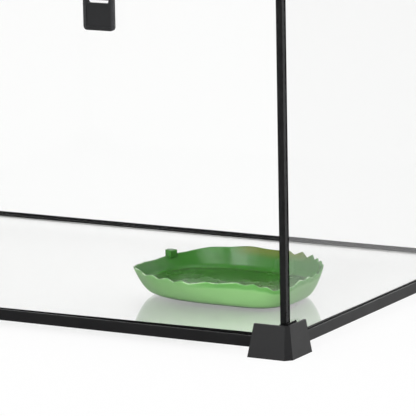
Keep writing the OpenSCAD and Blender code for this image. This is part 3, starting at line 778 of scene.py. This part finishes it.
class TERRARIUM_OT_pins(bpy.types.Operator):
    """Hinge pins and latch pins with domed ends, and the ring's screws"""
    bl_idname = "terrarium.pins"
    bl_label = "Pins and screws"

    def execute(self, context):
        for node, body in (("hinge_pin_left", "tank"), ("hinge_pin_right", "tank"),
                           ("latch_pin_left", "lid"), ("latch_pin_right", "lid")):
            low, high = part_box(node)
            middle, radius, half = (low + high) / 2, (high.z - low.z) / 2, (high.x - low.x) / 2
            deep = radius * DOME
            dome = [(half - deep + deep * math.sin(t), radius * math.cos(t))
                    for t in (math.radians(a) for a in range(0, 91, 15))]
            side = dome + [(-x, r) for x, r in reversed(dome)]
            bm = bmesh.new()
            verts = [bm.verts.new((x, max(r, 0), 0)) for x, r in side]
            edges = [bm.edges.new(pair) for pair in zip(verts, verts[1:])]
            bmesh.ops.spin(bm, geom=verts + edges, cent=(0, 0, 0), axis=(1, 0, 0), dvec=(0, 0, 0),
                           angle=math.tau, steps=32, use_merge=True, use_duplicate=False)
            bmesh.ops.remove_doubles(bm, verts=bm.verts, dist=MERGE)
            bmesh.ops.translate(bm, vec=middle, verts=bm.verts)
            finish_piece(bm, node + "_domed", body, "pin", replaces=(node,))
        soften("ring_screws", "lid", "pin", SCREW_ROUND, 2)
        return {"FINISHED"}


SCREEN_TUCK = 12 * MM  # how far the weave stays inside the edge of the screen's solid
BAR_HALF = 4 * MM  # half of the gap between the two panels, under the middle bar


class TERRARIUM_OT_screen(bpy.types.Operator):
    """Woven wire screen of the lid, two panels beside the middle bar"""
    bl_idname = "terrarium.screen"
    bl_label = "Screen"

    def wire(self, points, radius):
        """Mesh of a wire of three sides through the points, bent from crossing to crossing."""
        bm = bmesh.new()
        along = Vector((points[-1].x - points[0].x, points[-1].y - points[0].y, 0)).normalized()
        across = along.cross(Vector((0, 0, 1)))
        spokes = [across * math.cos(a) * radius + Vector((0, 0, math.sin(a) * radius))
                  for a in (math.radians(d) for d in (90, 210, 330))]
        edges = closed_loop(bm, [points[0] + spoke for spoke in spokes])
        for before, point in zip(points, points[1:]):
            verts, edges = extruded_loop(bm, edges)
            bmesh.ops.translate(bm, vec=point - before, verts=verts)
        bmesh.ops.holes_fill(bm, edges=[edge for edge in bm.edges if edge.is_boundary], sides=3)
        bmesh.ops.recalc_face_normals(bm, faces=bm.faces)
        mesh = bpy.data.meshes.new("wire")
        bm.to_mesh(mesh)
        bm.free()
        return mesh

    def lay(self, bm, mesh, offset):
        """Lays a copy of a wire into the weave."""
        known = len(bm.verts)
        bm.from_mesh(mesh)
        bm.verts.ensure_lookup_table()
        bmesh.ops.translate(bm, vec=offset, verts=bm.verts[known:])

    def execute(self, context):
        weave = context.scene.terrarium_screen
        middle = (SCREEN_LOW.z + SCREEN_HIGH.z) / 2
        tuck = Vector((SCREEN_TUCK, SCREEN_TUCK, 0))
        low, high = SCREEN_LOW + tuck, SCREEN_HIGH - tuck
        for name, left, right in (("left", low.x, -BAR_HALF), ("right", BAR_HALF, high.x)):
            bm = bmesh.new()
            across = int((right - left) / weave.pitch)
            along = int((high.y - low.y) / weave.pitch)
            corner = Vector((left, low.y, middle))
            for odd in (0, 1):
                warp = self.wire([corner + Vector((0, j * weave.pitch, weave.wire * (-1) ** (odd + j)))
                                  for j in range(along + 1)], weave.wire)
                weft = self.wire([corner + Vector((i * weave.pitch, 0, -weave.wire * (-1) ** (i + odd)))
                                  for i in range(across + 1)], weave.wire)
                for i in range(odd, across + 1, 2):
                    self.lay(bm, warp, (i * weave.pitch, 0, 0))
                for j in range(odd, along + 1, 2):
                    self.lay(bm, weft, (0, j * weave.pitch, 0))
                bpy.data.meshes.remove(warp)
                bpy.data.meshes.remove(weft)
            replaced = ("lid_screen",) if name == "left" else ()
            finish_piece(bm, "screen_weave_" + name, "lid", "screen", replaces=replaced, fix_normals=False)
        return {"FINISHED"}


# ---------------------------------------------------------------- the leaf dish

DISH_HALF_L = 62.3 * MM
DISH_HALF_W = 45.5 * MM
DISH_MIDDLE = Vector((148.6 * MM, -44 * MM, DISH_LOW.z))
LEAF_BLUNT = 2.5  # bluntness of the plan: 2 is an ellipse
RIM_MEAN = 21.45 * MM
RIM_TILT = 2.85 * MM  # how far the rim rises above its mean at the back
UNDERCUT = 0.06  # height of the wall's lower edge over the foot, as a share of the rim's
TUCK_AT, TUCK_WIDTH = 262, 55  # direction and half width in degrees of the tuck at the front of the base
FOOT_HOLLOW = 0.7 * MM  # how far the underside is hollowed inside the foot
TOOTH_LEAN = 0.35  # how far a notch cuts inwards, as a share of its depth
FLOOR_SAG = 0.3 * MM  # how much lower the bowl's floor is at its middle
VEIN_SPACING, VEIN_WIDTH, SIDE_VEIN_WIDTH = 14 * MM, 1.5 * MM, 1.1 * MM
STALK_AT = 157  # direction of the stalk in degrees
STALK_HALF, STALK_RISE = 3 * MM, 3 * MM
STALK_IN, STALK_OUT = 3 * MM, 3.5 * MM  # how far the stalk reaches in and out from the rim
STALK_LOW = 0.88  # height of the stalk's underside, as a share of the rim's
# Swells: (size, direction, half width in degrees). The plan's are shares of the reach, the rim's are in mm.
REACH_SWELLS = ((0.03, 199, 8), (0.05, 332, 16))
RIM_SWELLS = ((1.3, 295, 18), (-4.3, 331, 9), (-1.5, 2, 12), (1.4, 48, 14), (0.8, 97, 14), (-3.6, 167, 24))
# The rim's serration: (direction, depth as a share of the tooth), straight between the points.
TEETH = ((3, 0), (7, 0.8), (12, 0), (16, 1.0), (21, 0), (25, 1.1), (29, 0), (33, 1.0), (35.5, 0.1),
         (38.5, 1.2), (42, 0), (46.5, 1.4), (52.5, 0), (59.5, 1.1), (65, 0), (84, 0.1), (100, 0), (117, 0.2),
         (131, 0), (147, 0.4), (157, 0), (171, 0.2), (185, 0), (196, 0.25), (206, 0.1), (214, 0), (220, 0.9),
         (229, 0), (234, 1.0), (243, 0), (249, 1.0), (257, 0), (263, 0.9), (280, 0), (290, 0.7), (305, 0),
         (311, 0.6), (316, 0), (320, 0.8), (324, 0), (328, 0.7), (333, 0), (338, 0.8), (343, 0), (348, 0.8),
         (353, 0), (357, 0.8), (363, 0))


def swell(angle, at, width):
    """A smooth swell of height 1 round an angle, in degrees."""
    off = (angle - at + 540) % 360 - 180
    return math.exp(-(off / width) ** 2)


def leaf_reach(angle):
    """Reach of the rim at an angle: an oval with blunt ends and swells at two corners."""
    x = abs(math.cos(math.radians(angle))) / DISH_HALF_L
    y = abs(math.sin(math.radians(angle))) / DISH_HALF_W
    swells = sum(size * swell(angle, at, width) for size, at, width in REACH_SWELLS)
    return (x ** LEAF_BLUNT + y ** LEAF_BLUNT) ** (-1 / LEAF_BLUNT) * (1 + swells)


def rim_height(angle):
    """Height of the rim at an angle: low at the front and high at the back."""
    swells = sum(size * swell(angle, at, width) for size, at, width in RIM_SWELLS)
    return RIM_MEAN + RIM_TILT * math.sin(math.radians(angle)) + swells * MM


def tooth_depth(angle):
    """How deep the rim is notched at an angle, from 0 on the point of a tooth to 1 in the deepest notch."""
    angle = angle if angle >= TEETH[0][0] else angle + 360
    for (low, start), (high, end) in zip(TEETH, TEETH[1:]):
        if low <= angle <= high:
            return start + (end - start) * (angle - low) / (high - low)
    return 0.0


def smooth_step(value):
    """0 below 0, 1 above 1, with a smooth rise between."""
    value = min(1.0, max(0.0, value))
    return value * value * (3 - 2 * value)


class TERRARIUM_OT_dish(bpy.types.Operator):
    """Leaf-shaped dish with a serrated rim, veins and a stalk stub"""
    bl_idname = "terrarium.dish"
    bl_label = "Leaf dish"

    def section(self, dish):
        """Half section of the dish, from the middle of its underside to the middle of its bowl.

        Each point is (share of the reach, inset, share of the wall's height, lift, part), where part is 0
        outside, 1 on the lip, 2 on the inner wall and 3 on the bowl's floor.
        """
        base, lip = dish.base, dish.lip

        def wall(climb):
            return base + (1 - base) * climb ** 0.5, 0, UNDERCUT + (1 - UNDERCUT) * climb, 0, 0

        under = [(0, 0, 0, FOOT_HOLLOW, 0), (base * 0.5, 0, 0, FOOT_HOLLOW, 0),
                 (base * 0.84, 0, 0, FOOT_HOLLOW, 0), (base * 0.86, 0, 0, 0, 0), (base * 0.95, 0, 0, 0, 0),
                 (base * 0.975, 0, 0.15 * UNDERCUT, 0, 0), (base * 0.99, 0, 0.5 * UNDERCUT, 0, 0)]
        outer = [wall((i / 24) ** 1.8) for i in range(25)]
        rolled = [(1, lip / 2 * (1 - math.cos(a)), 1, lip / 2 * math.sin(a), 1)
                  for a in (math.radians(d) for d in (30, 60, 90, 120, 150))]
        inner = [(0.935 + 0.065 * u, lip + (dish.wall - lip) * (1 - u), u, 0, 2)
                 for u in (i / 12 for i in range(12, 1, -1))]
        fillet = [(0.925, dish.wall, 0.08, 0, 2), (0.91, dish.wall, 0.03, 0, 3),
                  (0.89, dish.wall, 0.008, 0, 3)]
        rings = (0.87, 0.84, *(0.8 - 0.04 * i for i in range(15)), *(0.2 - 0.05 * i for i in range(4)), 0)
        floor = [(share, dish.wall * share, 0, 0, 3) for share in rings]
        return under + outer + rolled + inner + fillet + floor

    def execute(self, context):
        dish = context.scene.terrarium_dish
        section = self.section(dish)
        bm = bmesh.new()
        names = ("inset", "rise", "lift", "part", "inside", "lip")
        layers = {name: bm.verts.layers.float.new(name) for name in names}
        verts = [bm.verts.new((point[0], 0, index * 0.01)) for index, point in enumerate(section)]
        edges = [bm.edges.new(pair) for pair in zip(verts, verts[1:])]
        for vert, (share, inset, rise, lift, part) in zip(verts, section):
            for name, value in (("inset", inset), ("rise", rise), ("lift", lift), ("part", part)):
                vert[layers[name]] = value
            vert[layers["inside"]] = (0, 0.8, 1, 1)[part]
            # The lip mask marks where the rim's painted highlight goes.
            vert[layers["lip"]] = part == 1
        bmesh.ops.spin(bm, geom=verts + edges, cent=(0, 0, 0), axis=(0, 0, 1), dvec=(0, 0, 0),
                       angle=math.tau, steps=dish.steps, use_merge=True, use_duplicate=False)
        bmesh.ops.remove_doubles(bm, verts=bm.verts, dist=1e-5)
        bmesh.ops.recalc_face_normals(bm, faces=bm.faces)
        for vert in bm.verts:
            self.place(vert, dish, layers)
        for name in ("inset", "lift"):
            bm.verts.layers.float.remove(bm.verts.layers.float[name])
        bmesh.ops.translate(bm, vec=DISH_MIDDLE, verts=bm.verts)
        finish_piece(bm, "leaf_dish_body", "dish", "dish", replaces=("leaf_dish",), fix_normals=False)
        self.stalk()
        return {"FINISHED"}

    def place(self, vert, dish, layers):
        """Moves a point of the turned section to its place on the leaf."""
        share, part, t = math.hypot(vert.co.x, vert.co.y), round(vert[layers["part"]]), vert[layers["rise"]]
        angle = math.degrees(math.atan2(vert.co.y, vert.co.x)) % 360
        turn = math.radians(angle)
        depth = tooth_depth(angle) * dish.tooth
        rim = rim_height(angle) - dish.lip / 2
        if part == 0:
            base = dish.base - dish.tuck * math.exp(-((angle - TUCK_AT) / TUCK_WIDTH) ** 4)
            if share < dish.base:
                share *= base / dish.base
            else:
                share = 1 - (1 - share) * (1 - base) / (1 - dish.base)
        r = leaf_reach(angle) * share - vert[layers["inset"]]
        ripple = 0.2 * MM * math.sin(7 * turn + 1) + 0.1 * MM * math.sin(13 * turn)
        x, y = r * math.cos(turn), r * math.sin(turn)
        if part < 2:
            height = rim * t - depth * t ** 6
            r += ripple * smooth_step(t * 1.4) - depth * TOOTH_LEAN * t ** 6
        else:
            floor = dish.floor - FLOOR_SAG * (1 - share ** 2)
            height = floor + (rim - floor) * t - depth * t ** 4
            r += ripple * t - depth * TOOTH_LEAN * t ** 4
            if part == 3:
                height += self.vein(x, y, dish) * smooth_step((0.9 - share) / 0.2)
            vert[layers["rise"]] = height / rim
        vert.co = (max(r, 0) * math.cos(turn), max(r, 0) * math.sin(turn), height + vert[layers["lift"]])

    def vein(self, x, y, dish):
        """Height of the veins at a point of the bowl's floor."""
        turn = math.radians(STALK_AT)
        along = x * math.cos(turn) + y * math.sin(turn)
        across = -x * math.sin(turn) + y * math.cos(turn)
        middle = math.exp(-(across / VEIN_WIDTH) ** 2)
        off = (along + abs(across) * 0.9) % VEIN_SPACING
        off = min(off, VEIN_SPACING - off)
        side = 0.6 * math.exp(-(off / SIDE_VEIN_WIDTH) ** 2)
        return dish.vein * max(middle, side)

    def stalk(self):
        """Short cut-off stalk on the back left of the rim."""
        reach, rim = leaf_reach(STALK_AT), rim_height(STALK_AT)
        top = rim + STALK_RISE
        bm = bmesh.new()
        box_piece(bm, (reach - STALK_IN, -STALK_HALF, rim * STALK_LOW), (reach + STALK_OUT, STALK_HALF, top))
        bmesh.ops.subdivide_edges(bm, edges=bm.edges[:], cuts=3, use_grid_fill=True)
        for vert in bm.verts:
            out = max(0.0, (vert.co.x - reach) / STALK_OUT)
            if vert.co.z > top - 0.5 * MM:
                vert.co.z -= 0.4 * MM * (1 - abs(vert.co.y) / STALK_HALF) * out
            vert.co.y *= 1 - 0.1 * out
        sharp = [edge for edge in bm.edges if edge.calc_face_angle(0) > math.radians(40)]
        bevel_edges(bm, sharp, 0.5 * MM, 3)
        layers = {name: bm.verts.layers.float.new(name) for name in ("rise", "inside", "lip", "part")}
        for vert in bm.verts:
            vert[layers["rise"]] = 0.5
            vert[layers["inside"]] = 1.0
            # Painted highlight: the stalk's top takes part of the rim's pale highlight colour.
            vert[layers["lip"]] = 0.4 if vert.co.z > top - 0.7 * MM else 0.0
        turn = Matrix.Rotation(math.radians(STALK_AT), 3, "Z")
        bmesh.ops.rotate(bm, cent=(0, 0, 0), matrix=turn, verts=bm.verts)
        bmesh.ops.translate(bm, vec=DISH_MIDDLE, verts=bm.verts)
        finish_piece(bm, "leaf_dish_stalk", "dish", "dish")


# ---------------------------------------------------------------- stage

# Lamps: (name, place, target, width and height, watts, whether it shows in glossy surfaces).
LAMPS = (
    ("top_lamp", (0.4, -0.5, 2.6), (0, 0, 0.1), (2.0, 2.0), 22, True),
    ("soft_lamp", (-0.97, -2.9, 1.1), (0.15, 0, 0.05), (0.24, 1.7), 18, True),
    ("fill_lamp", (0.6, -2.9, 1.0), (0.15, 0, 0.05), (1.2, 1.6), 24, False),
    ("side_lamp", (2.8, 1.0, 1.0), (0, 0, 0.1), (1.6, 1.6), 12, True),
)
# The room that shines back off the tank: its light side, and its light from and to along that direction.
ROOM_LIGHT_SIDE = (-0.15, 0.92, 0.36)
ROOM_FROM, ROOM_TO = (0.2, 0.92), (0.03, 1.0)


class TERRARIUM_OT_stage(bpy.types.Operator):
    """White floor, soft light, white backdrop and the camera"""
    bl_idname = "terrarium.stage"
    bl_label = "Stage"

    def camera(self, context, stage):
        """The camera, turned, tilted and rolled as the settings say."""
        data = bpy.data.cameras.new("camera")
        data.sensor_width = 36
        data.lens = stage.lens
        data.clip_start, data.clip_end = 0.1, 30
        camera = bpy.data.objects.new("camera", data)
        context.collection.objects.link(camera)
        forward = Vector((-math.sin(stage.yaw) * math.cos(stage.pitch),
                          math.cos(stage.yaw) * math.cos(stage.pitch), -math.sin(stage.pitch)))
        level = Vector((math.cos(stage.yaw), math.sin(stage.yaw), 0))
        raised = level.cross(forward)
        right = level * math.cos(stage.roll) + raised * math.sin(stage.roll)
        up = raised * math.cos(stage.roll) - level * math.sin(stage.roll)
        turn = Matrix((right, up, -forward)).transposed().to_4x4()
        camera.matrix_world = Matrix.Translation(Vector(stage.place)) @ turn
        context.scene.camera = camera

    def lamp(self, context, name, place, target, size, power, glossy):
        """A soft rectangular lamp that the camera doesn't see."""
        data = bpy.data.lights.new(name, "AREA")
        data.shape = "RECTANGLE"
        data.size, data.size_y = size
        data.energy = power
        lamp = bpy.data.objects.new(name, data)
        context.collection.objects.link(lamp)
        lamp.location = place
        lamp.rotation_euler = (Vector(place) - Vector(target)).to_track_quat("Z", "Y").to_euler()
        lamp.visible_camera = False
        lamp.visible_glossy = glossy

    def world(self, context, stage):
        """White for the camera. What shines back off the tank is a room that is dark at the front."""
        world = bpy.data.worlds.new("studio")
        context.scene.world = world
        tree = Tree(world)
        white, room = tree.nodes["Background"], tree.new("Background")
        white.inputs["Color"].default_value = (1, 1, 1, 1)
        room.inputs["Color"].default_value = (1, 1, 1, 1)
        toward = tree.new("VectorMath", operation="DOT_PRODUCT")
        toward.inputs[1].default_value = ROOM_LIGHT_SIDE
        tree.links.new(tree.new("TexCoord").outputs["Generated"], toward.inputs[0])
        level = tree.remap(toward.outputs["Value"], *ROOM_FROM, *ROOM_TO)
        path = tree.new("LightPath")
        lit = tree.math("MINIMUM", path.outputs["Diffuse Depth"], 1.0)
        hard = tree.product(tree.math("SUBTRACT", 1.0, lit), level)
        strength = tree.math("MAXIMUM", tree.product(lit, stage.ambient), hard)
        tree.links.new(strength, room.inputs["Strength"])
        tree.finish(tree.straight_view(path), room.outputs["Background"], white.outputs["Background"],
                    "World Output")

    def execute(self, context):
        stage = context.scene.terrarium_stage
        context.scene.view_settings.view_transform = "Standard"
        self.camera(context, stage)
        self.world(context, stage)
        for lamp in LAMPS:
            self.lamp(context, *lamp)
        if stage.show_floor:
            bm = bmesh.new()
            bmesh.ops.create_circle(bm, cap_ends=True, segments=96, radius=stage.floor_size / 2)
            mesh = bpy.data.meshes.new("floor")
            bm.to_mesh(mesh)
            bm.free()
            floor = bpy.data.objects.new("floor", mesh)
            context.collection.objects.link(floor)
            mesh.materials.append(make_floor())
            floor.visible_glossy = False
        return {"FINISHED"}


OPERATORS = (
    TERRARIUM_OT_panes,
    TERRARIUM_OT_silicone,
    TERRARIUM_OT_mouldings,
    TERRARIUM_OT_pins,
    TERRARIUM_OT_screen,
    TERRARIUM_OT_dish,
    TERRARIUM_OT_stage,
)


class TERRARIUM_PT_panel(bpy.types.Panel):
    """Lists the terrarium's settings and its makers"""
    bl_idname = "TERRARIUM_PT_panel"
    bl_label = "Terrarium"
    bl_space_type = "VIEW_3D"
    bl_region_type = "UI"
    bl_category = "Terrarium"

    def draw(self, context):
        for operator in OPERATORS:
            self.layout.operator(operator.bl_idname)
        for name, group in SETTINGS.items():
            box = self.layout.box()
            box.label(text=name.split("_")[1].title())
            for prop in group.__annotations__:
                box.prop(getattr(context.scene, name), prop)


def register():
    """Registers the classes and hangs the settings on the scene."""
    for cls in (*SETTINGS.values(), *OPERATORS, TERRARIUM_PT_panel):
        bpy.utils.register_class(cls)
    for name, group in SETTINGS.items():
        setattr(bpy.types.Scene, name, PointerProperty(type=group))


def unregister():
    """Takes the settings and the classes away again."""
    for name in SETTINGS:
        delattr(bpy.types.Scene, name)
    for cls in reversed((*SETTINGS.values(), *OPERATORS, TERRARIUM_PT_panel)):
        bpy.utils.unregister_class(cls)


def main():
    """Makes every piece and the stage."""
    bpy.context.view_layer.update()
    register()
    for operator in OPERATORS:
        group, name = operator.bl_idname.split(".")
        getattr(getattr(bpy.ops, group), name)()


if __name__ == "__main__":
    main()
